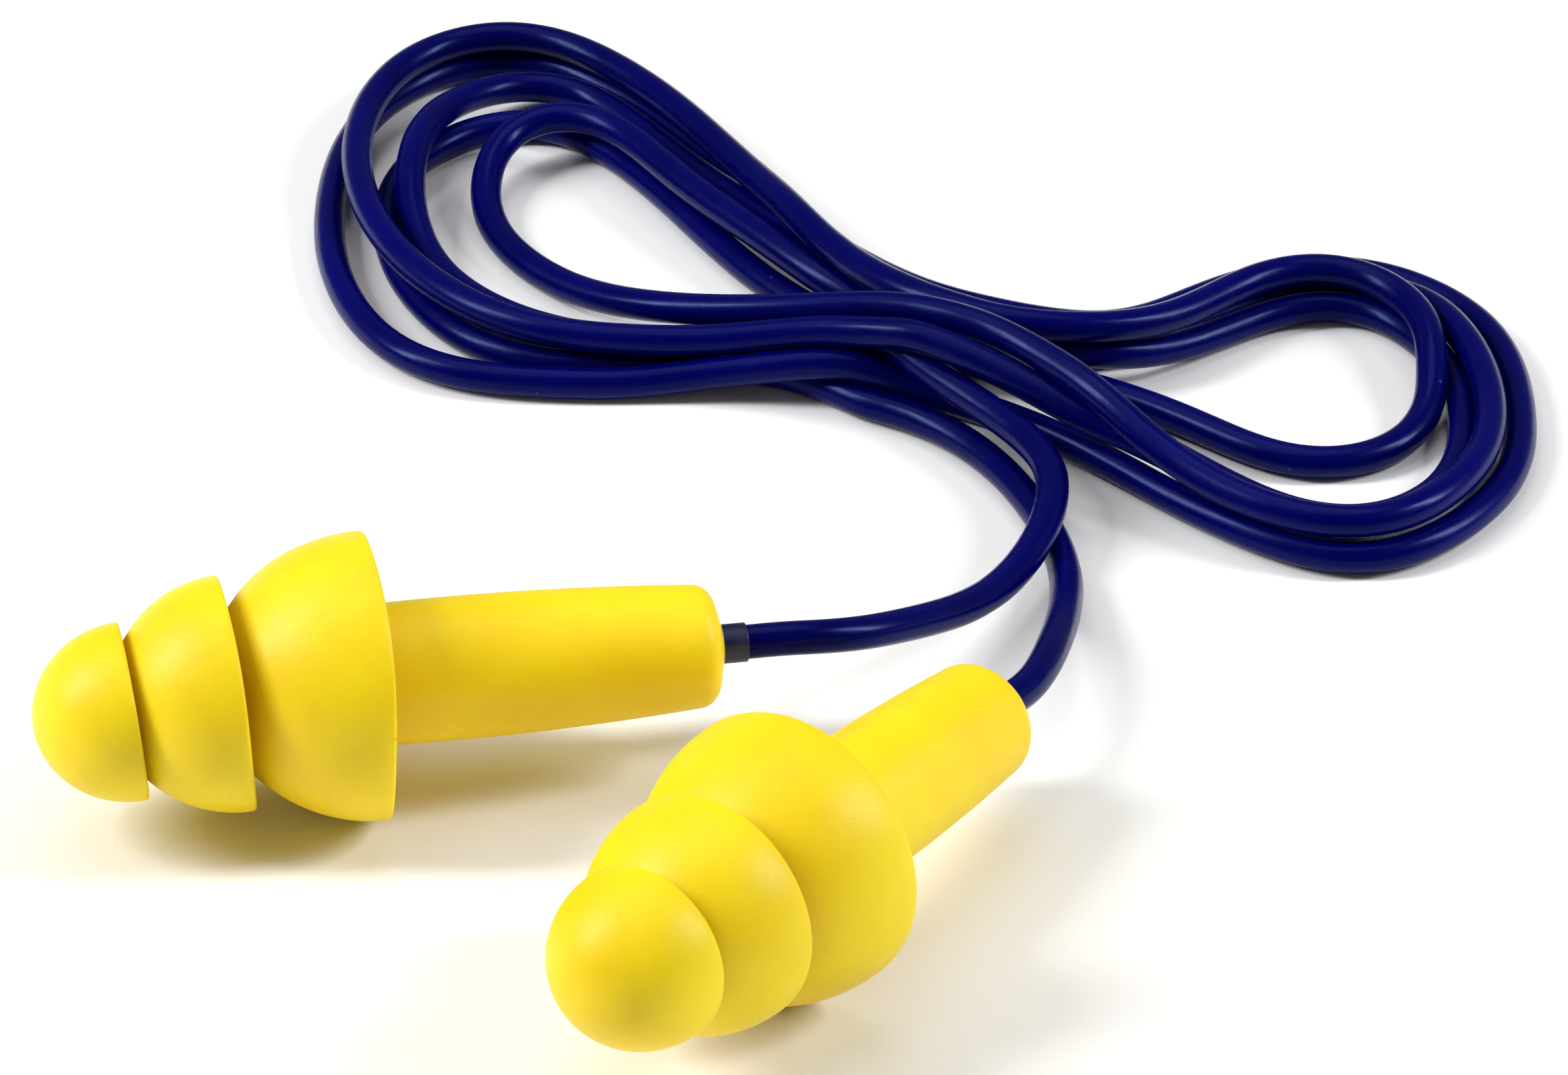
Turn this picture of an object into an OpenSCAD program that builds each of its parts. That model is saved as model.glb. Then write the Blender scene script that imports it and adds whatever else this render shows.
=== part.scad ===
// Corded ear plugs: two moulded plugs with three hollow flanges each, joined by
// one thin vinyl cord that lies in a loose figure-eight bundle. Millimetres, +Z up.
// Each cord end is held in a short sleeve, and each sleeve is pushed into the bore
// in a plug's stem. The plugs lie on their widest flanges, on the plane Z = 0.

/* [Plug] */
// Length of a plug, from the tip to the mouth of the stem
plug_length = 29.4; // [27:0.1:32]
// Diameter of the tip flange
tip_flange_d = 7.6; // [7:0.1:8.2]
// Diameter of the middle flange
middle_flange_d = 10; // [9.4:0.1:10.6]
// Diameter of the wide flange
wide_flange_d = 12.2; // [11.8:0.1:13]
// Distance from the tip back to the rim of the tip flange
tip_rim_at = 4.1; // [3.8:0.1:4.3]
// Distance from the tip back to the rim of the middle flange
middle_rim_at = 8.5; // [8.2:0.1:8.8]
// Distance from the tip back to the rim of the wide flange
wide_rim_at = 14.4; // [14:0.1:14.8]
// Thickness of a flange at its rim
rim_wall = 0.35; // [0.3:0.05:0.5]
// Diameter of the core between the flanges
core_d = 4.4; // [4:0.1:4.8]

/* [Stem] */
// Diameter of the stem where it leaves the wide flange
stem_root_d = 5.6; // [5.4:0.1:5.8]
// Diameter of the stem at its thickest, half way along
stem_middle_d = 6.1; // [5.9:0.1:6.3]
// Diameter of the stem at its mouth
stem_mouth_d = 5.3; // [5:0.1:5.6]
// Radius of the stem's rounded end corner
stem_corner_r = 0.9; // [0.5:0.1:1.2]
// Depth of the bore in the stem
bore_depth = 9; // [8.8:0.1:11]

/* [Cord] */
// Diameter of the cord
cord_d = 1.5; // [1.4:0.05:1.55]
// Outer diameter of the sleeve on the cord's end
sleeve_d = 1.7; // [1.7:0.05:1.8]
// Radial clearance of the sleeve in the stem's bore
sleeve_clearance = 0.05; // [0.03:0.01:0.08]
// Length of the sleeve inside the stem
sleeve_inside = 8.5; // [8:0.1:8.7]
// Length of the sleeve that shows outside the stem
sleeve_outside = 1.1; // [0.8:0.1:1.5]
// Height of the cord bundle
bundle_height = 5; // [4:0.5:6]

/* [Layout] */
// Direction of the left stem in plan, anticlockwise from +X
left_heading = 11.7; // [8:0.1:13]
// Angle by which the left stem slopes down to its mouth
left_droop = 2; // [0:0.5:4]
// Direction of the right stem in plan, anticlockwise from +X
right_heading = 55.5; // [53:0.5:59]
// Angle by which the right stem slopes down to its mouth
right_droop = 7; // [5:0.5:9]

/* [Hidden] */

yellow = [0.96, 0.84, 0.10];
navy = [0.03, 0.04, 0.36];
dark_navy = [0.03, 0.03, 0.16];

round_fn = 64;           // facets that stand for a true circle
arc_steps = 10;          // straight pieces in each flange's quarter ellipse
corner_steps = 4;        // straight pieces in the stem's end corner
cord_sides = 8;
face_dome = 0.25;        // how far the stem's end face bulges at the bore

// Each flange: rim radius, distance of the rim from the tip, height of the dome
// over the rim, depth of the hollow under it, radius of what it meets below.
flanges = [
    [tip_flange_d / 2, tip_rim_at, tip_rim_at, 2.6, core_d / 2],
    [middle_flange_d / 2, middle_rim_at, 5.2, 4.0, core_d / 2],
    [wide_flange_d / 2, wide_rim_at, 6.9, 5.6, stem_root_d / 2]
];

// Where each stem's mouth stands in plan, and how high: the wide flange's rim
// touches the ground.
rim_to_mouth = plug_length - wide_rim_at;
function mouth_height(droop) = wide_flange_d / 2 * cos(droop) - rim_to_mouth * sin(droop);
left_mouth = [7.9, 12.4, mouth_height(left_droop)];
right_mouth = [19.3, 9.2, mouth_height(right_droop)];

// Unit vector out of a stem's mouth.
function outward(heading, droop) =
    [cos(droop) * cos(heading), cos(droop) * sin(heading), -sin(droop)];
left_out = outward(left_heading, left_droop);
right_out = outward(right_heading, right_droop);

// The cord's route from each sleeve to the bundle. The left lead humps over the
// right one where they cross.
straight_run = 2;        // the cord leaves its sleeve straight for this far
left_exit = left_mouth + sleeve_outside * left_out;
right_exit = right_mouth + sleeve_outside * right_out;
left_route = concat(
    [left_exit, left_exit + straight_run * left_out],
    [[13.2, 13.7, 5.1], [15.7, 16, 4.1], [18.2, 18.8, 2.9], [20.4, 22.2, 2.1],
     [21.9, 25.4, 2.2], [22.6, 28.2, 2.5], [22.7, 30.5, 2.6], [21.7, 33, 2.4],
     [20, 35.5, 2.5], [17.9, 37.8, 2.6], [14.6, 41, 1.8]]);
right_route = concat(
    [right_exit, right_exit + straight_run * right_out],
    [[21.9, 14.3, 3.6], [22.6, 17.6, 2.8], [23, 21.1, 1.8], [23.1, 24.6, 1],
     [22.6, 27.8, 0.8], [21.6, 30.8, 0.8], [20.4, 33.3, 0.8], [18.6, 35.8, 0.8],
     [16.3, 38, 0.8], [13.5, 39.8, 0.8], [10.5, 41.4, 0.8]]);

// Outline of the bundle in plan, as circles [x, y, radius] hulled one to the next:
// the left loops, the waist where all the strands cross, and the right loops.
bundle_lobes = [[-0.6, 59.2, 11.8], [1.2, 51.5, 10.6], [16.2, 44.4, 4.4],
                [29.2, 41.4, 7.2], [35.6, 38.2, 10.6]];

// Half section of a plug: [radius, distance from the mouth towards the tip].
function dome(f, inner_r) = [for (i = [0 : arc_steps])
    let (t0 = asin(inner_r / f[0]), t = t0 + (90 - t0) * i / arc_steps)
    [f[0] * sin(t), plug_length - f[1] + f[2] * cos(t)]];
function hollow(f) = [for (i = [0 : arc_steps])
    let (r = f[0] - rim_wall, t0 = asin(f[4] / r), t = 90 - (90 - t0) * i / arc_steps)
    [r * sin(t), plug_length - f[1] + f[3] * cos(t)]];
function end_corner() = [for (i = [0 : corner_steps])
    let (t = 90 * i / corner_steps, r = stem_mouth_d / 2 - stem_corner_r)
    [r + stem_corner_r * cos(t), face_dome + stem_corner_r * (1 - sin(t))]];
bore_r = sleeve_d / 2 + sleeve_clearance;
plug_section = concat(
    dome(flanges[0], 0), hollow(flanges[0]),
    dome(flanges[1], core_d / 2), hollow(flanges[1]),
    dome(flanges[2], core_d / 2), hollow(flanges[2]),
    [[stem_middle_d / 2, rim_to_mouth / 2]],
    end_corner(),
    [[bore_r, 0], [bore_r, bore_depth], [0, bore_depth]]);

// Moves a shape built along +Z from its own mouth to a stem's mouth, +Z to the tip.
module at_mouth(mouth, heading, droop) {
    translate(mouth) rotate([0, 0, heading]) rotate([0, -90 + droop, 0]) children();
}

module plug() {
    color(yellow) rotate_extrude($fn = round_fn) polygon(plug_section);
}

module sleeve() {
    color(dark_navy) translate([0, 0, -sleeve_outside]) difference() {
        cylinder(d = sleeve_d, h = sleeve_outside + sleeve_inside, $fn = round_fn);
        translate([0, 0, -1])
            cylinder(d = cord_d, h = sleeve_outside + sleeve_inside + 2, $fn = round_fn);
    }
}

module cord_end() {
    color(navy) translate([0, 0, -sleeve_outside])
        cylinder(d = cord_d, h = sleeve_outside + sleeve_inside, $fn = round_fn);
}

// A tube swept along a route, one ring of points at each of the route's points.
function unit(v) = v / norm(v);
function heading_at(p, i) =
    unit(p[min(i + 1, len(p) - 1)] - p[max(i - 1, 0)]);
function ring(p, i) = let (
        t = heading_at(p, i),
        side = unit(cross(t, [0, 0, 1])),
        up = cross(side, t))
    [for (k = [0 : cord_sides - 1]) let (a = 360 * k / cord_sides)
        p[i] + cord_d / 2 * (cos(a) * side + sin(a) * up)];
module swept_cord(p) {
    n = cord_sides;
    points = [for (i = [0 : len(p) - 1]) each ring(p, i)];
    walls = [for (i = [0 : len(p) - 2], k = [0 : n - 1])
        [i * n + k, (i + 1) * n + k, (i + 1) * n + (k + 1) % n, i * n + (k + 1) % n]];
    near_end = [for (k = [0 : n - 1]) k];
    far_end = [for (k = [n - 1 : -1 : 0]) (len(p) - 1) * n + k];
    color(navy) polyhedron(points, concat([near_end], walls, [far_end]));
}

module left_plug() {
    at_mouth(left_mouth, left_heading, left_droop) plug();
}

module right_plug() {
    at_mouth(right_mouth, right_heading, right_droop) plug();
}

module left_sleeve() {
    at_mouth(left_mouth, left_heading, left_droop) sleeve();
}

module right_sleeve() {
    at_mouth(right_mouth, right_heading, right_droop) sleeve();
}

module left_cord_end() {
    at_mouth(left_mouth, left_heading, left_droop) cord_end();
}

module right_cord_end() {
    at_mouth(right_mouth, right_heading, right_droop) cord_end();
}

module left_lead() {
    swept_cord(left_route);
}

module right_lead() {
    swept_cord(right_route);
}

module cord_bundle() {
    color(navy) linear_extrude(bundle_height)
        for (i = [0 : len(bundle_lobes) - 2]) hull() {
            for (lobe = [bundle_lobes[i], bundle_lobes[i + 1]])
                translate([lobe[0], lobe[1]]) circle(r = lobe[2], $fn = 48);
        }
}

left_plug();
right_plug();
left_sleeve();
right_sleeve();
left_cord_end();
right_cord_end();
left_lead();
right_lead();
cord_bundle();
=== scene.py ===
import math

import bpy
import bmesh
import numpy as np
from bpy.props import FloatProperty, FloatVectorProperty, IntProperty, PointerProperty
from mathutils import Matrix, Vector


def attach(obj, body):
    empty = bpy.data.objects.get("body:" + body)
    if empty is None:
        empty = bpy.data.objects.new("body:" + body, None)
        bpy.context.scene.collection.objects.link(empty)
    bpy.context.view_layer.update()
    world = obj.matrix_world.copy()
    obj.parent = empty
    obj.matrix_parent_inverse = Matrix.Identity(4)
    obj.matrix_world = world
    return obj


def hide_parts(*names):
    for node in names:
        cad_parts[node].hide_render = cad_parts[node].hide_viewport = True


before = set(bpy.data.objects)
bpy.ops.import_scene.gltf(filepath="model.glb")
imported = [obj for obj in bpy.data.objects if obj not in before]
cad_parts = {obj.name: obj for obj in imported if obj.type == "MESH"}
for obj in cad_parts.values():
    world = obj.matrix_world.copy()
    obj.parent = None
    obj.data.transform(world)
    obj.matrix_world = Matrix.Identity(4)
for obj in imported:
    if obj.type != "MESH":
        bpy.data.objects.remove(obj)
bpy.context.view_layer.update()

bl_info = {
    "name": "Corded ear plugs",
    "version": (1, 0, 0),
    "blender": (4, 5, 0),
    "location": "3D View > Sidebar > Ear plugs",
    "description": "Two flanged ear plugs on one vinyl cord, laid in a loose bundle",
    "category": "Object",
}

MM = 0.001

# ---------------------------------------------------------------- settings


class PlugSettings(bpy.types.PropertyGroup):
    """Sizes of one moulded plug, measured from the tip back to the stem's mouth."""

    length: FloatProperty(
        name="Length", description="From the tip to the mouth of the stem",
        default=29.4 * MM, unit="LENGTH")
    tip_flange: FloatProperty(
        name="Tip flange", description="Diameter of the tip flange",
        default=7.6 * MM, unit="LENGTH")
    middle_flange: FloatProperty(
        name="Middle flange", description="Diameter of the middle flange",
        default=10 * MM, unit="LENGTH")
    wide_flange: FloatProperty(
        name="Wide flange", description="Diameter of the wide flange",
        default=12.2 * MM, unit="LENGTH")
    tip_rim_at: FloatProperty(
        name="Tip rim at", description="From the tip back to the tip flange's rim",
        default=4.1 * MM, unit="LENGTH")
    middle_rim_at: FloatProperty(
        name="Middle rim at", description="From the tip back to the middle flange's rim",
        default=8.5 * MM, unit="LENGTH")
    wide_rim_at: FloatProperty(
        name="Wide rim at", description="From the tip back to the wide flange's rim",
        default=14.4 * MM, unit="LENGTH")
    rim_wall: FloatProperty(
        name="Rim wall", description="Thickness of a flange at its rim",
        default=0.35 * MM, unit="LENGTH")
    core: FloatProperty(
        name="Core", description="Diameter of the core between the flanges",
        default=4.4 * MM, unit="LENGTH")
    stem_root: FloatProperty(
        name="Stem root", description="Diameter of the stem inside the wide flange",
        default=5.6 * MM, unit="LENGTH")
    stem_middle: FloatProperty(
        name="Stem middle", description="Diameter of the stem at its thickest",
        default=6.1 * MM, unit="LENGTH")
    stem_mouth: FloatProperty(
        name="Stem mouth", description="Diameter of the stem at its mouth",
        default=5.3 * MM, unit="LENGTH")
    stem_corner: FloatProperty(
        name="Stem corner", description="Radius of the stem's rounded end corner",
        default=0.9 * MM, unit="LENGTH")
    face_dome: FloatProperty(
        name="Face dome", description="How far the stem's end face bulges",
        default=0.25 * MM, unit="LENGTH")
    bore: FloatProperty(
        name="Bore", description="Radius of the blind bore in the stem",
        default=0.9 * MM, unit="LENGTH")
    bore_depth: FloatProperty(
        name="Bore depth", description="Depth of the blind bore in the stem",
        default=9 * MM, unit="LENGTH")
    head_sag: FloatProperty(
        name="Head sag", description="How far the left plug's soft head is bent down",
        default=math.radians(6.2), subtype="ANGLE")


class CordSettings(bpy.types.PropertyGroup):
    """Sizes of the cord and of the sleeves on its ends."""

    diameter: FloatProperty(
        name="Diameter", description="Diameter of the cord",
        default=1.5 * MM, unit="LENGTH")
    sleeve: FloatProperty(
        name="Sleeve", description="Outer diameter of the sleeve on each cord end",
        default=1.7 * MM, unit="LENGTH")
    sleeve_inside: FloatProperty(
        name="Sleeve inside", description="Length of the sleeve inside the stem",
        default=8.5 * MM, unit="LENGTH")
    sleeve_outside: FloatProperty(
        name="Sleeve outside", description="Length of the sleeve outside the stem",
        default=1.1 * MM, unit="LENGTH")
    room: FloatProperty(
        name="Room", description="Distance kept between the lines of two touching runs",
        default=1.54 * MM, unit="LENGTH")
    step: FloatProperty(
        name="Step", description="Spacing of the points that the cord settles by",
        default=1 * MM, unit="LENGTH")
    passes: IntProperty(
        name="Passes", description="How many passes the cord takes to settle",
        default=400, min=1)


class FinishSettings(bpy.types.PropertyGroup):
    """Colours of the materials."""

    elastomer: FloatVectorProperty(
        name="Elastomer", description="Yellow of the moulded plugs",
        default=(0.93, 0.71, 0.008), size=3, subtype="COLOR")
    elastomer_deep: FloatVectorProperty(
        name="Elastomer, deep", description="Deeper yellow that drifts through the plugs",
        default=(0.88, 0.62, 0.005), size=3, subtype="COLOR")
    vinyl: FloatVectorProperty(
        name="Vinyl", description="Blue of the cord",
        default=(0.0005, 0.0006, 0.095), size=3, subtype="COLOR")
    vinyl_deep: FloatVectorProperty(
        name="Vinyl, deep", description="Darker blue that drifts along the cord",
        default=(0.0003, 0.0003, 0.06), size=3, subtype="COLOR")
    sleeve: FloatVectorProperty(
        name="Sleeve", description="Dark blue of the sleeves",
        default=(0.006, 0.008, 0.045), size=3, subtype="COLOR")
    floor: FloatVectorProperty(
        name="Floor", description="Pale colour of the floor",
        default=(0.93, 0.93, 0.925), size=3, subtype="COLOR")


class StageSettings(bpy.types.PropertyGroup):
    """Where the camera stands."""

    aim: FloatVectorProperty(
        name="Aim", description="Point on the floor that the camera looks at",
        default=(10.6 * MM, 28.8 * MM, 0), size=3, subtype="XYZ")
    elevation: FloatProperty(
        name="Elevation", description="Angle of the camera above the floor",
        default=math.radians(34), subtype="ANGLE")
    distance: FloatProperty(
        name="Distance", description="Distance from the camera to its aim",
        default=0.3, unit="LENGTH")
    lens: FloatProperty(
        name="Lens", description="Focal length in millimetres on a 36 mm sensor",
        default=152.6, min=1)


# ---------------------------------------------------------------- layout

# How each plug lies: its mouth in plan, the stem's direction, and its slope.
LAY = {
    "left": {"mouth": (7.9 * MM, 12.4 * MM), "heading": 11.7, "droop": 2},
    "right": {"mouth": (19.3 * MM, 9.2 * MM), "heading": 55.5, "droop": 7},
}
STRAIGHT_RUN = 2 * MM

# The cord's route in millimetres, from the left sleeve to the right one. Each list is
# one run: the leads, then the loops at the two sides of the waist in turn.
LEFT_LEAD = [
    (13.2, 13.7, 5.1), (15.7, 16, 4.1), (18.2, 18.8, 2.9), (20.4, 22.2, 2.1),
    (21.9, 25.4, 2.2), (22.6, 28.2, 2.5), (22.7, 30.5, 2.6), (21.7, 33, 2.4),
    (20, 35.5, 2.5), (17.9, 37.8, 2.6),
]
LEFT_LOOP_3 = [
    (14.6, 41, 1.8), (11, 43.1, 0.8), (6, 43.7, 0.8), (0.3, 44.8, 0.8),
    (-4.3, 48.1, 0.8), (-6.9, 52.5, 1.2), (-7.5, 57.4, 2.3), (-7, 61.3, 2.3),
    (-5.6, 64.4, 1.8), (-3.2, 66.9, 1.3), (-0.2, 67.2, 1), (2.3, 65.3, 0.9),
    (5, 62, 0.8), (8.5, 57, 0.8), (11.8, 51.9, 1.4),
]
RIGHT_LOOP_3 = [
    (15.6, 47.2, 2.1), (20.5, 44.5, 1.7), (26, 45, 0.8), (31, 48, 0.8),
    (36.4, 50.4, 0.8), (40.6, 48.9, 0.8), (43.8, 44.7, 0.8), (44.6, 39, 0.8),
    (43.8, 33, 0.8), (40.6, 28.2, 0.8), (36.3, 25.9, 0.8), (32.3, 27.5, 0.8),
    (28.5, 30.6, 0.8),
]
LEFT_LOOP_2 = [
    (24.6, 34.6, 0.8), (21.5, 37.1, 0.8), (18.6, 38.8, 1), (15.5, 39.7, 2),
    (12, 40.1, 2.2), (8.5, 40.5, 1.6), (4.5, 40.7, 0.8), (-0.5, 40.6, 0.8),
    (-6, 42, 0.8), (-9.5, 46.4, 0.8), (-11.2, 52.7, 0.8), (-11.3, 58.6, 0.8),
    (-10, 64.8, 0.8), (-6, 69.6, 0.8), (-2, 70.2, 0.8), (3, 66.4, 0.8),
    (7.3, 60, 0.8), (11.2, 53.8, 0.8),
]
RIGHT_LOOP_2 = [
    (14.4, 48.7, 0.8), (17.6, 45.2, 0.8), (22, 43.4, 0.8), (27, 44.2, 0.8),
    (31.5, 47, 0.8), (36, 48.8, 0.8), (39.6, 47.8, 1.2), (42.2, 43.4, 1.8),
    (43.1, 38, 1.9), (42.5, 33.2, 2), (40.2, 29, 2.3), (36.8, 26.6, 2.3),
    (32.7, 27.5, 2.4), (29.3, 30, 2.5),
]
LEFT_LOOP_4 = [
    (25.3, 33.8, 3.6), (21.5, 38.2, 4.3), (17, 41.3, 4.3), (12.5, 42.4, 3.7),
    (7.2, 44, 2.6), (3.2, 46.3, 1.6), (0.2, 49, 0.8), (-2.4, 52.2, 0.8),
    (-3.8, 56, 0.9), (-3.7, 58.9, 1.6), (-2.7, 61.2, 2.2), (-0.4, 62.2, 2.5),
    (2.2, 60.9, 2.5), (4.6, 57.6, 2.5), (7, 54.2, 2.4), (11.9, 48, 2.3),
]
RIGHT_LOOP_1 = [
    (16, 44.3, 1.2), (21, 42, 0.8), (26, 39.4, 0.8), (30.1, 36.5, 0.8),
    (33.6, 34, 0.8), (37, 34.1, 0.8), (40, 37, 0.8), (40.9, 41.3, 1.2),
    (40, 45.2, 2), (37, 47.9, 2.4), (33, 47, 2.5),
]
LEFT_LOOP_1 = [
    (28.5, 42.8, 2.9), (24, 40.9, 3.6), (20, 40.9, 4.2), (16.3, 43.6, 4),
    (13.2, 47.8, 3.3), (10, 54.2, 2.7), (6, 61.8, 2.5), (2.4, 66.8, 2.4),
    (-2.7, 70.2, 2.4), (-7.3, 68.4, 2.4), (-9.9, 62.9, 2.4), (-10.1, 57.4, 2.4),
    (-8.7, 51.6, 2.4), (-5.5, 46.2, 2.4), (-1, 42.7, 2.4), (4, 41.7, 2.4),
]
RIGHT_LOOP_4 = [
    (9.5, 41.2, 2.6), (14.5, 40.2, 3.3), (19.4, 37.7, 3.7), (24, 34.9, 3.3),
    (28.5, 32.3, 2), (32.6, 30.1, 0.8), (36.8, 29, 0.8), (40.6, 31.9, 0.8),
    (41.9, 38, 0.8), (40.8, 43.4, 0.8), (37.9, 47, 0.8), (34, 46.9, 0.8),
    (29, 43.2, 1), (24, 41.2, 2),
]
LEFT_LOOP_5 = [
    (19.4, 41.9, 2.2), (14.6, 44.6, 1.2), (10.2, 48.8, 0.8), (6, 55.4, 0.8),
    (2, 61.5, 0.8), (-1.8, 64.2, 0.8), (-5.4, 63, 0.8), (-8, 59.4, 0.8),
    (-8.4, 53.5, 0.8), (-6.8, 48, 0.8), (-3.6, 43.8, 0.8), (1, 41.9, 0.8),
    (6, 42, 0.8),
]
RIGHT_LEAD = [
    (10.5, 41.4, 0.8), (13.5, 39.8, 0.8), (16.3, 38, 0.8), (18.6, 35.8, 0.8),
    (20.4, 33.3, 0.8), (21.6, 30.8, 0.8), (22.6, 27.8, 0.8), (23.1, 24.6, 1),
    (23, 21.1, 1.8), (22.6, 17.6, 2.8), (21.9, 14.3, 3.6),
]
RUNS = (
    LEFT_LEAD, LEFT_LOOP_3, RIGHT_LOOP_3, LEFT_LOOP_2, RIGHT_LOOP_2, LEFT_LOOP_4,
    RIGHT_LOOP_1, LEFT_LOOP_1, RIGHT_LOOP_4, LEFT_LOOP_5, RIGHT_LEAD,
)


def outward(side):
    """Unit vector out of a stem's mouth."""
    heading = math.radians(LAY[side]["heading"])
    droop = math.radians(LAY[side]["droop"])
    level = math.cos(droop)
    return Vector((level * math.cos(heading), level * math.sin(heading), -math.sin(droop)))


def mouth(side, plug):
    """Centre of a stem's mouth. The wide flange's rim touches the floor."""
    droop = math.radians(LAY[side]["droop"])
    rim_to_mouth = plug.length - plug.wide_rim_at
    height = plug.wide_flange / 2 * math.cos(droop) - rim_to_mouth * math.sin(droop)
    return Vector((*LAY[side]["mouth"], height))


def at_mouth(side, plug):
    """Takes a shape built along +Z, from its own mouth to its tip, to where a plug lies."""
    heading = math.radians(LAY[side]["heading"])
    droop = math.radians(LAY[side]["droop"])
    turn = Matrix.Rotation(heading, 4, "Z") @ Matrix.Rotation(droop - math.pi / 2, 4, "Y")
    return Matrix.Translation(mouth(side, plug)) @ turn


# ---------------------------------------------------------------- meshes

# Height of the dome over a flange's rim, and depth of the hollow behind the rim. The
# tip flange's dome reaches the tip.
MIDDLE_DOME = 5.2 * MM
WIDE_DOME = 6.9 * MM
TIP_HOLLOW = 2.6 * MM
MIDDLE_HOLLOW = 4 * MM
WIDE_HOLLOW = 5.6 * MM
DOME_STEPS = 20
LIP_STEPS = 6
HOLLOW_STEPS = 16
BARREL_STEPS = 14
CORNER_STEPS = 8
BORE_LIP = 0.12 * MM
AROUND_PLUG = 120
AROUND_SLEEVE = 48
ON_AXIS = 1e-9
MERGE_DISTANCE = 1e-7
SLEEVE_ROOM = 0.005 * MM

# How the soft plugs differ from the true shape. The head bends over a stretch that ends
# at a distance from the tip. The flanges are loose away from the axis and the stem, and
# there they are a little out of round with uneven rims.
BEND_ENDS_AT = 6 * MM
BEND_OVER = 10 * MM
BEND_ROWS = 200
LOOSE_FROM_RADIUS = 3 * MM
LOOSE_OVER_RADIUS = 3 * MM
LOOSE_FROM_MOUTH = 9 * MM
LOOSE_OVER_LENGTH = 4 * MM
OVAL = 0.008
RIPPLE = 0.003
UNEVEN_RIM = 0.07 * MM

def arc(centre, radius_out, radius_along, start, end, steps):
    """Points on an ellipse's arc, as (radius, distance along the axis)."""
    angles = [start + (end - start) * i / steps for i in range(steps + 1)]
    return [(centre[0] + radius_out * math.sin(a), centre[1] + radius_along * math.cos(a))
            for a in angles]


def flange_section(plug, diameter, rim_at, dome, hollow, above, below):
    """One flange's half section: its dome, its thin rounded lip and the hollow behind it.

    above and below are the radii that the dome and the hollow start from.
    """
    rim = plug.length - rim_at
    lip = plug.rim_wall / 2
    outer = diameter / 2
    inner = outer - plug.rim_wall
    right = math.pi / 2
    start = math.asin(above / outer)
    end = math.asin(below / inner)
    points = arc((0, rim), outer, dome, start, right, DOME_STEPS)
    points += arc((outer - lip, rim), lip, lip, right, 3 * right, LIP_STEPS)[1:-1]
    points += arc((0, rim), inner, hollow, right, end, HOLLOW_STEPS)
    return points


def plug_section(plug):
    """Half section of a plug, from the tip round the outside into the bore."""
    core = plug.core / 2
    points = flange_section(
        plug, plug.tip_flange, plug.tip_rim_at, plug.tip_rim_at, TIP_HOLLOW, 0, core)
    points += flange_section(
        plug, plug.middle_flange, plug.middle_rim_at, MIDDLE_DOME, MIDDLE_HOLLOW, core,
        core)
    points += flange_section(
        plug, plug.wide_flange, plug.wide_rim_at, WIDE_DOME, WIDE_HOLLOW, core,
        plug.stem_root / 2)
    return points + stem_section(plug, points[-1])


def stem_section(plug, root):
    """The stem's barrel, its rounded corner, its domed end face and the bore."""
    shoulder = plug.face_dome + plug.stem_corner
    points = []
    for i in range(1, BARREL_STEPS):
        share = i / BARREL_STEPS
        along = root[1] + (shoulder - root[1]) * share
        swell = 4 * share * (1 - share)
        straight = plug.stem_root / 2 + (plug.stem_mouth - plug.stem_root) / 2 * share
        middle = (plug.stem_root + plug.stem_mouth) / 4
        points.append((straight + (plug.stem_middle / 2 - middle) * swell, along))
    corner = plug.stem_mouth / 2 - plug.stem_corner
    points += arc((corner, shoulder), plug.stem_corner, plug.stem_corner,
                  math.pi / 2, math.pi, CORNER_STEPS)
    points += [(plug.bore + BORE_LIP, 0.02 * MM), (plug.bore + 0.3 * BORE_LIP, 0.05 * MM),
               (plug.bore, BORE_LIP), (plug.bore, plug.bore_depth / 2),
               (plug.bore, plug.bore_depth), (0, plug.bore_depth)]
    return points


def revolve(name, section, around, shape=None):
    """A mesh turned about Z from a half section. shape moves each point, if given."""
    mesh = bpy.data.meshes.new(name)
    bm = bmesh.new()
    rings = []
    for radius, along in section:
        if radius < ON_AXIS:
            ring = [bm.verts.new((0, 0, along))]
        else:
            turns = [2 * math.pi * k / around for k in range(around)]
            ring = [bm.verts.new((radius * math.cos(a), radius * math.sin(a), along))
                    for a in turns]
        rings.append(ring)
    for a, b in zip(rings, rings[1:]):
        for k in range(around):
            quad = [a[k % len(a)], a[(k + 1) % len(a)], b[(k + 1) % len(b)], b[k % len(b)]]
            corners = list(dict.fromkeys(quad))
            bm.faces.new(corners)
    if shape:
        for vertex in bm.verts:
            vertex.co = shape(vertex.co)
    bmesh.ops.recalc_face_normals(bm, faces=bm.faces)
    for face in bm.faces:
        face.smooth = True
    bm.to_mesh(mesh)
    bm.free()
    return mesh


def smoothstep(x):
    """0 below 0, 1 above 1, and a smooth rise between."""
    x = min(max(x, 0), 1)
    return x * x * (3 - 2 * x)


def bend_angle(plug, sag, along):
    """How far the plug's axis has turned down at a distance from the stem's mouth."""
    bend_from = plug.length - BEND_ENDS_AT - BEND_OVER
    return sag * smoothstep((along - bend_from) / BEND_OVER)


def bent_axis(plug, sag):
    """Points along the bent axis, a row apart, as (across, along)."""
    step = plug.length / BEND_ROWS
    axis = [(0.0, 0.0)]
    for i in range(BEND_ROWS):
        angle = bend_angle(plug, sag, plug.length * i / BEND_ROWS)
        across, along = axis[-1]
        axis.append((across - math.sin(angle) * step, along + math.cos(angle) * step))
    return axis


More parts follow.
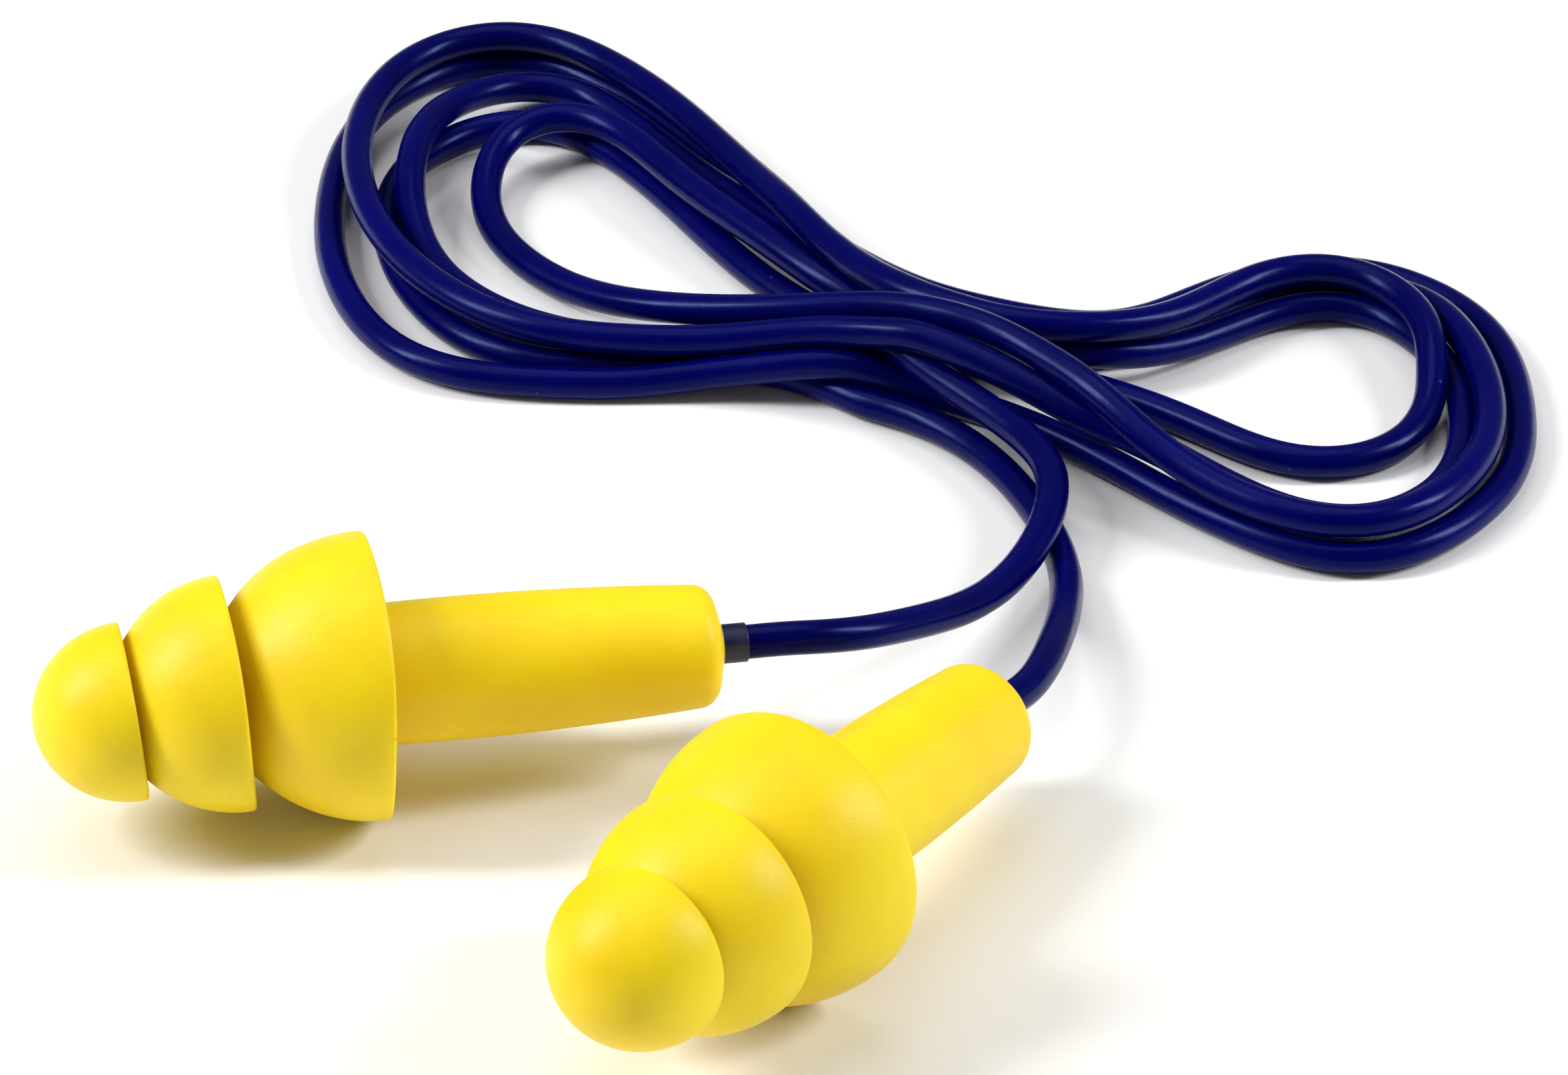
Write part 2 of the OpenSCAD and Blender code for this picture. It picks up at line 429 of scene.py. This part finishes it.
def soft_shape(plug, sag, phase):
    """A function that makes a plug's mesh a soft moulding: its flanges a little out of
    round, their rims a little uneven, and its head bent down by sag."""
    axis = bent_axis(plug, sag)

    def place(point):
        radius = math.hypot(point.x, point.y)
        turn = math.atan2(point.y, point.x)
        loose = smoothstep((radius - LOOSE_FROM_RADIUS) / LOOSE_OVER_RADIUS)
        loose *= smoothstep((point.z - LOOSE_FROM_MOUTH) / LOOSE_OVER_LENGTH)
        wide = 1 + OVAL * loose * math.sin(2 * turn + phase)
        wide += RIPPLE * loose * math.sin(5 * turn + 2 * phase)
        along = point.z + UNEVEN_RIM * loose * math.sin(3 * turn + 1.7 * phase)
        row = min(max(along / plug.length * BEND_ROWS, 0), BEND_ROWS - 1e-6)
        low = int(row)
        part = row - low
        middle = [axis[low][i] * (1 - part) + axis[low + 1][i] * part for i in (0, 1)]
        angle = bend_angle(plug, sag, along)
        x, y = point.x * wide, point.y * wide
        return Vector((middle[0] + x * math.cos(angle), y, middle[1] + x * math.sin(angle)))

    return place


def new_piece(name, mesh, material, body):
    """Links a mesh as a piece that rides on a body, with the given material."""
    piece = bpy.data.objects.new(name, mesh)
    bpy.context.scene.collection.objects.link(piece)
    mesh.materials.append(material)
    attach(piece, body)
    return piece


# ---------------------------------------------------------------- cord

# How the cord settles in each pass: the shares of the way back to its route across the
# floor and up, its stiffness, and how hard runs that overlap are pushed apart.
TO_ROUTE = np.array([0.06, 0.06, 0.02])
STIFFNESS = 0.1
PUSH = 1.5
PUSH_ROUNDS = 3
EVENING = 0.25
HELD_POINTS = 3
FIND_PAIRS_EVERY = 10
PAIR_REACH = 1.5
SAME_BEND = 2.6
SPLINE_STEPS = 24

def smooth_line(points, step):
    """A natural cubic spline through the points, with new points a step apart."""
    points = np.array(points, float)
    count = len(points)
    gaps = np.linalg.norm(np.diff(points, axis=0), axis=1) ** 0.75
    left = np.zeros((count, count))
    right = np.zeros((count, 3))
    for end, nearer in ((0, 1), (-1, -2)):
        left[end, end] = 2
        left[end, nearer] = 1
    right[0] = 3 * (points[1] - points[0]) / gaps[0]
    right[-1] = 3 * (points[-1] - points[-2]) / gaps[-1]
    for i in range(1, count - 1):
        a, b = gaps[i - 1], gaps[i]
        left[i, i - 1:i + 2] = (b, 2 * (a + b), a)
        before, after = points[i] - points[i - 1], points[i + 1] - points[i]
        right[i] = 3 * (b * before / a + a * after / b)
    slopes = np.linalg.solve(left, right)
    t = np.linspace(0, 1, SPLINE_STEPS, endpoint=False)[:, None]
    fine = []
    for i in range(count - 1):
        fine.append((2 * t**3 - 3 * t**2 + 1) * points[i]
                    + (3 * t**2 - 2 * t**3) * points[i + 1]
                    + (t**3 - 2 * t**2 + t) * gaps[i] * slopes[i]
                    + (t**3 - t**2) * gaps[i] * slopes[i + 1])
    return even_line(np.vstack(fine + [points[-1:]]), step)


def even_line(points, step):
    """The same line with its points a step apart."""
    lengths = np.linalg.norm(np.diff(points, axis=0), axis=1)
    along = np.concatenate([[0], np.cumsum(lengths)])
    wanted = np.linspace(0, along[-1], int(round(along[-1] / step)) + 1)
    return np.stack([np.interp(wanted, along, points[:, i]) for i in range(3)], 1)


def push_apart(line, pairs, room):
    """Moves the points of each pair that are closer than room straight apart."""
    first, second = pairs
    between = line[first] - line[second]
    distance = np.linalg.norm(between, axis=1) + 1e-12
    near = distance < room
    move = between[near] / distance[near, None] * ((room - distance[near]) / 2)[:, None]
    total = np.zeros_like(line)
    share = np.ones(len(line))
    for index, sign in ((first[near], 1), (second[near], -1)):
        np.add.at(total, index, sign * move)
        np.add.at(share, index, 0.5)
    line += PUSH * total / share[:, None]


def straighten(line):
    """Eases each point towards the smooth line of its neighbours, as the cord's
    stiffness does."""
    for reach in (1, 2):
        ahead, behind = line[3 * reach:-reach], line[reach:-3 * reach]
        far = line[:-4 * reach] + line[4 * reach:]
        here = line[2 * reach:-2 * reach]
        here += STIFFNESS * ((4 * ahead + 4 * behind - far) / 6 - here)


def even_out(line):
    """Moves the points towards an even spacing along the line."""
    steps = np.diff(line, axis=0)
    lengths = np.linalg.norm(steps, axis=1)
    even = steps * ((lengths - lengths.mean()) / lengths * EVENING)[:, None]
    line[:-1] += even
    line[1:] -= even


def settle(route, cord):
    """Lets the cord's runs rest beside and on each other, near their route."""
    line = route.copy()
    apart = int(math.ceil(SAME_BEND * cord.room / cord.step))
    for turn in range(cord.passes):
        if turn % FIND_PAIRS_EVERY == 0:
            gaps = np.linalg.norm(line[:, None] - line[None], axis=-1)
            pairs = np.where(np.triu(gaps < PAIR_REACH * cord.room, apart))
        line += TO_ROUTE * (route - line)
        straighten(line)
        for _ in range(PUSH_ROUNDS):
            push_apart(line, pairs, cord.room)
            even_out(line)
            line[:, 2] = np.maximum(line[:, 2], cord.diameter / 2)
        line[:HELD_POINTS] = route[:HELD_POINTS]
        line[-HELD_POINTS:] = route[-HELD_POINTS:]
    return line


def cord_curve(name, line, diameter):
    """A round curve object along the line."""
    data = bpy.data.curves.new(name, "CURVE")
    data.dimensions = "3D"
    data.resolution_u = 3
    data.bevel_depth = diameter / 2
    data.bevel_resolution = 6
    data.use_fill_caps = True
    spline = data.splines.new("NURBS")
    spline.points.add(len(line) - 1)
    spline.points.foreach_set("co", np.hstack([line, np.ones((len(line), 1))]).ravel())
    spline.order_u = 4
    spline.use_endpoint_u = True
    piece = bpy.data.objects.new(name, data)
    bpy.context.scene.collection.objects.link(piece)
    return piece


# ---------------------------------------------------------------- materials

# The part of a noise's values that is spread over the whole drift, and over the whole
# range of roughness.
DRIFT_RANGE = (0.35, 0.65)
GRAIN_RANGE = (0.3, 0.7)

def add_node(tree, kind, **values):
    """Adds a shader node. Each value sets the input or the property of that name."""
    made = tree.nodes.new(kind)
    for key, value in values.items():
        label = key.replace("_", " ")
        if label in made.inputs:
            made.inputs[label].default_value = value
        else:
            setattr(made, key, value)
    return made


def new_group(name, inputs, outputs):
    """An empty shader node group with named sockets."""
    group = bpy.data.node_groups.new(name, "ShaderNodeTree")
    for label, kind, value in inputs:
        socket = group.interface.new_socket(label, in_out="INPUT", socket_type=kind)
        socket.default_value = value
    for label, kind in outputs:
        group.interface.new_socket(label, in_out="OUTPUT", socket_type=kind)
    return group, group.nodes.new("NodeGroupInput"), group.nodes.new("NodeGroupOutput")


def use_group(tree, group, **values):
    """Places a node group in a material with its own values."""
    made = tree.nodes.new("ShaderNodeGroup")
    made.node_tree = group
    for key, value in values.items():
        made.inputs[key.replace("_", " ")].default_value = value
    return made


def grain_group():
    """Fine surface grain: a fine noise over a broad ripple, as a height."""
    group, given, result = new_group(
        "Surface grain",
        [("Fine scale", "NodeSocketFloat", 5000), ("Broad scale", "NodeSocketFloat", 600),
         ("Broad share", "NodeSocketFloat", 0.4)],
        [("Height", "NodeSocketFloat")])
    place = add_node(group, "ShaderNodeTexCoord")
    fine = add_node(group, "ShaderNodeTexNoise", Detail=3, Roughness=0.6)
    broad = add_node(group, "ShaderNodeTexNoise", Detail=2, Roughness=0.5)
    mix = add_node(group, "ShaderNodeMix")
    link = group.links.new
    link(place.outputs["Object"], fine.inputs["Vector"])
    link(place.outputs["Object"], broad.inputs["Vector"])
    link(given.outputs["Fine scale"], fine.inputs["Scale"])
    link(given.outputs["Broad scale"], broad.inputs["Scale"])
    link(given.outputs["Broad share"], mix.inputs["Factor"])
    link(fine.outputs["Fac"], mix.inputs["A"])
    link(broad.outputs["Fac"], mix.inputs["B"])
    link(mix.outputs["Result"], result.inputs["Height"])
    return group


def speck_group():
    """Scattered specks and short nicks, as a mask of 0 and 1."""
    group, given, result = new_group(
        "Specks",
        [("Scale", "NodeSocketFloat", 400), ("Size", "NodeSocketFloat", 0.1),
         ("Share", "NodeSocketFloat", 0.2)],
        [("Mask", "NodeSocketFloat")])
    place = add_node(group, "ShaderNodeTexCoord")
    cells = add_node(group, "ShaderNodeTexVoronoi", Randomness=1)
    shade = add_node(group, "ShaderNodeSeparateColor")
    small = add_node(group, "ShaderNodeMath", operation="LESS_THAN")
    chosen = add_node(group, "ShaderNodeMath", operation="LESS_THAN")
    both = add_node(group, "ShaderNodeMath", operation="MULTIPLY")
    link = group.links.new
    link(place.outputs["Object"], cells.inputs["Vector"])
    link(given.outputs["Scale"], cells.inputs["Scale"])
    link(cells.outputs["Distance"], small.inputs[0])
    link(given.outputs["Size"], small.inputs[1])
    link(cells.outputs["Color"], shade.inputs["Color"])
    link(shade.outputs["Red"], chosen.inputs[0])
    link(given.outputs["Share"], chosen.inputs[1])
    link(small.outputs["Value"], both.inputs[0])
    link(chosen.outputs["Value"], both.inputs[1])
    link(both.outputs["Value"], result.inputs["Mask"])
    return group


def drift_group():
    """A slow drift between two tones of one colour."""
    group, given, result = new_group(
        "Tone drift",
        [("Tone", "NodeSocketColor", (1, 1, 1, 1)),
         ("Deep tone", "NodeSocketColor", (0, 0, 0, 1)),
         ("Scale", "NodeSocketFloat", 100)],
        [("Color", "NodeSocketColor")])
    place = add_node(group, "ShaderNodeTexCoord")
    cloud = add_node(group, "ShaderNodeTexNoise", Detail=4, Roughness=0.55)
    spread = add_node(group, "ShaderNodeMapRange")
    spread.inputs["From Min"].default_value = DRIFT_RANGE[0]
    spread.inputs["From Max"].default_value = DRIFT_RANGE[1]
    mix = add_node(group, "ShaderNodeMix", data_type="RGBA")
    link = group.links.new
    link(place.outputs["Object"], cloud.inputs["Vector"])
    link(given.outputs["Scale"], cloud.inputs["Scale"])
    link(cloud.outputs["Fac"], spread.inputs["Value"])
    link(spread.outputs["Result"], mix.inputs["Factor"])
    link(given.outputs["Tone"], mix.inputs["A"])
    link(given.outputs["Deep tone"], mix.inputs["B"])
    link(mix.outputs["Result"], result.inputs["Color"])
    return group


def shared_group(name, maker):
    """The node group of that name, made the first time that it is asked for."""
    return bpy.data.node_groups.get(name) or maker()


def new_material(name):
    """A material with one Principled shader."""
    material = bpy.data.materials.new(name)
    material.use_nodes = True
    return material, material.node_tree, material.node_tree.nodes["Principled BSDF"]


def opaque(colour):
    """A colour with full alpha, for a colour socket."""
    return (*colour, 1)


def finish_surface(tree, shader, tones, drift_scale, roughness, grain, depth, specks,
                   fleck, fleck_strength):
    """Joins the shared effects to a shader: drifting tones with specks in a fleck colour,
    roughness that varies with the grain, and the grain as a bump."""
    link = tree.links.new
    drift = use_group(tree, shared_group("Tone drift", drift_group),
                      Tone=opaque(tones[0]), Deep_tone=opaque(tones[1]), Scale=drift_scale)
    dots = use_group(tree, shared_group("Specks", speck_group), **specks)
    surface = use_group(tree, shared_group("Surface grain", grain_group), **grain)
    strength = add_node(tree, "ShaderNodeMath", operation="MULTIPLY")
    strength.inputs[1].default_value = fleck_strength
    colour = add_node(tree, "ShaderNodeMix", data_type="RGBA")
    colour.inputs["B"].default_value = opaque(fleck)
    rough = add_node(tree, "ShaderNodeMapRange")
    rough.inputs["From Min"].default_value = GRAIN_RANGE[0]
    rough.inputs["From Max"].default_value = GRAIN_RANGE[1]
    rough.inputs["To Min"].default_value = roughness[0]
    rough.inputs["To Max"].default_value = roughness[1]
    bump = add_node(tree, "ShaderNodeBump", Distance=depth)
    link(dots.outputs["Mask"], strength.inputs[0])
    link(strength.outputs["Value"], colour.inputs["Factor"])
    link(drift.outputs["Color"], colour.inputs["A"])
    link(colour.outputs["Result"], shader.inputs["Base Color"])
    link(surface.outputs["Height"], rough.inputs["Value"])
    link(rough.outputs["Result"], shader.inputs["Roughness"])
    link(surface.outputs["Height"], bump.inputs["Height"])
    link(bump.outputs["Normal"], shader.inputs["Normal"])


def elastomer_material(finish):
    """Satin yellow elastomer that lets a little light in."""
    material, tree, shader = new_material("yellow_elastomer")
    shader.inputs["IOR"].default_value = 1.43
    shader.inputs["Specular IOR Level"].default_value = 0.35
    shader.inputs["Subsurface Weight"].default_value = 0.3
    shader.inputs["Subsurface Radius"].default_value = (1, 0.5, 0.05)
    shader.inputs["Subsurface Scale"].default_value = 1.2 * MM
    finish_surface(
        tree, shader, tones=(finish.elastomer, finish.elastomer_deep), drift_scale=160,
        roughness=(0.4, 0.5),
        grain={"Fine_scale": 4200, "Broad_scale": 700, "Broad_share": 0.35},
        depth=0.018 * MM,
        specks={"Scale": 900, "Size": 0.07, "Share": 0.05},
        fleck=(0.55, 0.36, 0.02), fleck_strength=0.4)
    return material


def vinyl_material(finish):
    """Glossy blue vinyl with faint scuffs."""
    material, tree, shader = new_material("blue_vinyl")
    shader.inputs["IOR"].default_value = 1.45
    shader.inputs["Specular IOR Level"].default_value = 0.2
    shader.inputs["Specular Tint"].default_value = opaque((0.3, 0.42, 1))
    finish_surface(
        tree, shader, tones=(finish.vinyl, finish.vinyl_deep), drift_scale=90,
        roughness=(0.2, 0.32),
        grain={"Fine_scale": 3000, "Broad_scale": 500, "Broad_share": 0.6},
        depth=0.012 * MM,
        specks={"Scale": 1100, "Size": 0.09, "Share": 0.03},
        fleck=(0.05, 0.08, 0.25), fleck_strength=0.5)
    return material


def sleeve_material(finish):
    """Dark semi-gloss vinyl of the sleeves."""
    material, tree, shader = new_material("dark_sleeve")
    shader.inputs["IOR"].default_value = 1.5
    finish_surface(
        tree, shader, tones=(finish.sleeve, finish.vinyl_deep), drift_scale=900,
        roughness=(0.3, 0.45),
        grain={"Fine_scale": 5000, "Broad_scale": 1500, "Broad_share": 0.5},
        depth=0.02 * MM,
        specks={"Scale": 1600, "Size": 0.14, "Share": 0.06},
        fleck=(0.1, 0.11, 0.2), fleck_strength=0.6)
    return material


def shared_material(name, maker, finish):
    """The material of that name, made the first time that it is asked for."""
    return bpy.data.materials.get(name) or maker(finish)


# ---------------------------------------------------------------- operators


def sleeve_section(cord):
    """Closed half section of a sleeve's wall, rounded at both ends."""
    outer = cord.sleeve / 2
    inner = cord.diameter / 2 + SLEEVE_ROOM
    lip = (outer - inner) / 2
    middle = (outer + inner) / 2
    low, high = -cord.sleeve_outside, cord.sleeve_inside
    right = math.pi / 2
    section = arc((middle, low + lip), lip, lip, 3 * right, right, CORNER_STEPS)
    section += arc((middle, high - lip), lip, lip, right, -right, CORNER_STEPS)
    return section + section[:1]


def close_tube(mesh):
    """Joins the first and the last ring of a tube that was turned from a closed section."""
    bm = bmesh.new()
    bm.from_mesh(mesh)
    bmesh.ops.remove_doubles(bm, verts=bm.verts, dist=MERGE_DISTANCE)
    bmesh.ops.recalc_face_normals(bm, faces=bm.faces)
    bm.to_mesh(mesh)
    bm.free()


class EARPLUGS_OT_sleeves(bpy.types.Operator):
    """Build the sleeves on the cord's ends"""

    bl_idname = "earplugs.sleeves"
    bl_label = "Sleeves"

    def execute(self, context):
        settings = context.scene
        plug, cord = settings.earplugs_plug, settings.earplugs_cord
        dark = shared_material("dark_sleeve", sleeve_material, settings.earplugs_finish)
        for side in LAY:
            mesh = revolve(side + "_sleeve_tube", sleeve_section(cord), AROUND_SLEEVE)
            close_tube(mesh)
            mesh.transform(at_mouth(side, plug))
            piece = new_piece(side + "_sleeve_tube", mesh, dark, "cord_set")
            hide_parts(side + "_sleeve")
        return {"FINISHED"}


class EARPLUGS_OT_cord_ends(bpy.types.Operator):
    """Give the cord's ends inside the sleeves the cord's finish"""

    bl_idname = "earplugs.cord_ends"
    bl_label = "Cord ends"

    def execute(self, context):
        vinyl = shared_material("blue_vinyl", vinyl_material, context.scene.earplugs_finish)
        for side in LAY:
            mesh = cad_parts[side + "_cord_end"].data
            mesh.materials.clear()
            mesh.materials.append(vinyl)
        return {"FINISHED"}


class EARPLUGS_OT_cord(bpy.types.Operator):
    """Build the cord, laid in its bundle"""

    bl_idname = "earplugs.cord"
    bl_label = "Cord"

    def execute(self, context):
        settings = context.scene
        plug, cord = settings.earplugs_plug, settings.earplugs_cord
        leave = {side: mouth(side, plug) + cord.sleeve_outside * outward(side)
                 for side in LAY}
        straight = {side: leave[side] + STRAIGHT_RUN * outward(side) for side in LAY}
        points = [leave["left"], straight["left"]]
        points += [Vector(point) * MM for run in RUNS for point in run]
        points += [straight["right"], leave["right"]]
        line = settle(smooth_line(points, cord.step), cord)
        piece = cord_curve("cord", line, cord.diameter)
        piece.data.materials.append(
            shared_material("blue_vinyl", vinyl_material, settings.earplugs_finish))
        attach(piece, "cord_set")
        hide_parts("left_lead", "right_lead", "cord_bundle")
        return {"FINISHED"}


class EARPLUGS_OT_plugs(bpy.types.Operator):
    """Build the two moulded plugs"""

    bl_idname = "earplugs.plugs"
    bl_label = "Plugs"

    def execute(self, context):
        settings = context.scene
        plug = settings.earplugs_plug
        yellow = shared_material(
            "yellow_elastomer", elastomer_material, settings.earplugs_finish)
        section = plug_section(plug)
        for side, sag, phase in (("left", plug.head_sag, 0.4), ("right", 0, 2.1)):
            shape = soft_shape(plug, sag, phase)
            mesh = revolve(side + "_moulding", section, AROUND_PLUG, shape)
            mesh.transform(at_mouth(side, plug))
            piece = new_piece(
                side + "_moulding", mesh, yellow, side + "_ear_plug")
            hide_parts(side + "_plug")
        return {"FINISHED"}


FLOOR_HALF_SIDE = 3
FLOOR_HEIGHT = -0.02 * MM
SENSOR_WIDTH = 36
CLIP_START = 0.01
ROOM_LIGHT = 0.14

# Each light: its name, its place from the camera's aim, its size and its power.
LIGHTS = (
    ("overhead", (-0.06, 0.1, 0.5), (0.5, 0.4), 0.9),
    ("left_side", (-0.36, -0.03, 0.3), (0.09, 0.26), 2.0),
    ("right_side", (0.38, 0.0, 0.26), (0.08, 0.22), 1.5),
)


def softbox(name, place, aim, size, power):
    """A rectangular area light that faces its aim."""
    light = bpy.data.lights.new(name, "AREA")
    light.shape = "RECTANGLE"
    light.size, light.size_y = size
    light.energy = power
    lamp = bpy.data.objects.new(name, light)
    bpy.context.scene.collection.objects.link(lamp)
    lamp.location = place
    lamp.rotation_euler = (Vector(aim) - Vector(place)).to_track_quat("-Z", "Y").to_euler()
    return lamp


def add_camera(scene, stage, aim):
    """The camera, in front of its aim and above it."""
    back = Vector((0, -math.cos(stage.elevation), math.sin(stage.elevation)))
    data = bpy.data.cameras.new("camera")
    data.lens = stage.lens
    data.sensor_width = SENSOR_WIDTH
    data.clip_start = CLIP_START
    camera = bpy.data.objects.new("camera", data)
    scene.collection.objects.link(camera)
    camera.location = aim + stage.distance * back
    camera.rotation_euler = (-back).to_track_quat("-Z", "Y").to_euler()
    scene.camera = camera


def add_floor(scene, colour):
    """The pale floor, a hair below everything that lies on it."""
    mesh = bpy.data.meshes.new("floor")
    bm = bmesh.new()
    bmesh.ops.create_grid(bm, x_segments=2, y_segments=2, size=FLOOR_HALF_SIDE)
    bm.to_mesh(mesh)
    bm.free()
    floor = bpy.data.objects.new("floor", mesh)
    scene.collection.objects.link(floor)
    floor.location.z = FLOOR_HEIGHT
    material, _, shader = new_material("pale_floor")
    shader.inputs["Base Color"].default_value = opaque(colour)
    shader.inputs["Roughness"].default_value = 0.9
    shader.inputs["Specular IOR Level"].default_value = 0.1
    mesh.materials.append(material)


def light_room(scene):
    """An even white light from all around."""
    world = scene.world or bpy.data.worlds.new("room")
    scene.world = world
    world.use_nodes = True
    sky = world.node_tree.nodes["Background"]
    sky.inputs["Color"].default_value = (1, 1, 1, 1)
    sky.inputs["Strength"].default_value = ROOM_LIGHT


class EARPLUGS_OT_stage(bpy.types.Operator):
    """Set the camera, the floor and the soft lights"""

    bl_idname = "earplugs.stage"
    bl_label = "Stage"

    def execute(self, context):
        scene = context.scene
        stage = scene.earplugs_stage
        aim = Vector(stage.aim)
        add_camera(scene, stage, aim)
        add_floor(scene, scene.earplugs_finish.floor)
        for name, place, size, power in LIGHTS:
            softbox(name, aim + Vector(place), aim, size, power)
        light_room(scene)
        scene.view_settings.view_transform = "Standard"
        return {"FINISHED"}


class EARPLUGS_PT_panel(bpy.types.Panel):
    """Lists the settings and the pieces"""

    bl_label = "Corded ear plugs"
    bl_idname = "EARPLUGS_PT_panel"
    bl_space_type = "VIEW_3D"
    bl_region_type = "UI"
    bl_category = "Ear plugs"

    def draw(self, context):
        for operator in OPERATORS:
            self.layout.operator(operator.bl_idname)
        for name, group in SETTINGS.items():
            box = self.layout.box()
            for prop in group.__annotations__:
                box.prop(getattr(context.scene, name), prop)


SETTINGS = {
    "earplugs_plug": PlugSettings,
    "earplugs_cord": CordSettings,
    "earplugs_finish": FinishSettings,
    "earplugs_stage": StageSettings,
}
OPERATORS = (
    EARPLUGS_OT_stage, EARPLUGS_OT_sleeves, EARPLUGS_OT_cord_ends, EARPLUGS_OT_cord,
    EARPLUGS_OT_plugs,
)


def register():
    """Registers the classes and puts the settings on the scene."""
    for group in SETTINGS.values():
        bpy.utils.register_class(group)
    for operator in OPERATORS:
        bpy.utils.register_class(operator)
    bpy.utils.register_class(EARPLUGS_PT_panel)
    for name, group in SETTINGS.items():
        setattr(bpy.types.Scene, name, PointerProperty(type=group))


def unregister():
    """Takes the settings and the classes away again."""
    for name in SETTINGS:
        delattr(bpy.types.Scene, name)
    bpy.utils.unregister_class(EARPLUGS_PT_panel)
    for operator in reversed(OPERATORS):
        bpy.utils.unregister_class(operator)
    for group in reversed(list(SETTINGS.values())):
        bpy.utils.unregister_class(group)


def main():
    """Builds everything."""
    register()
    bpy.ops.earplugs.stage()
    bpy.ops.earplugs.sleeves()
    bpy.ops.earplugs.cord_ends()
    bpy.ops.earplugs.cord()
    bpy.ops.earplugs.plugs()
    bpy.context.view_layer.update()


if __name__ == "__main__":
    main()
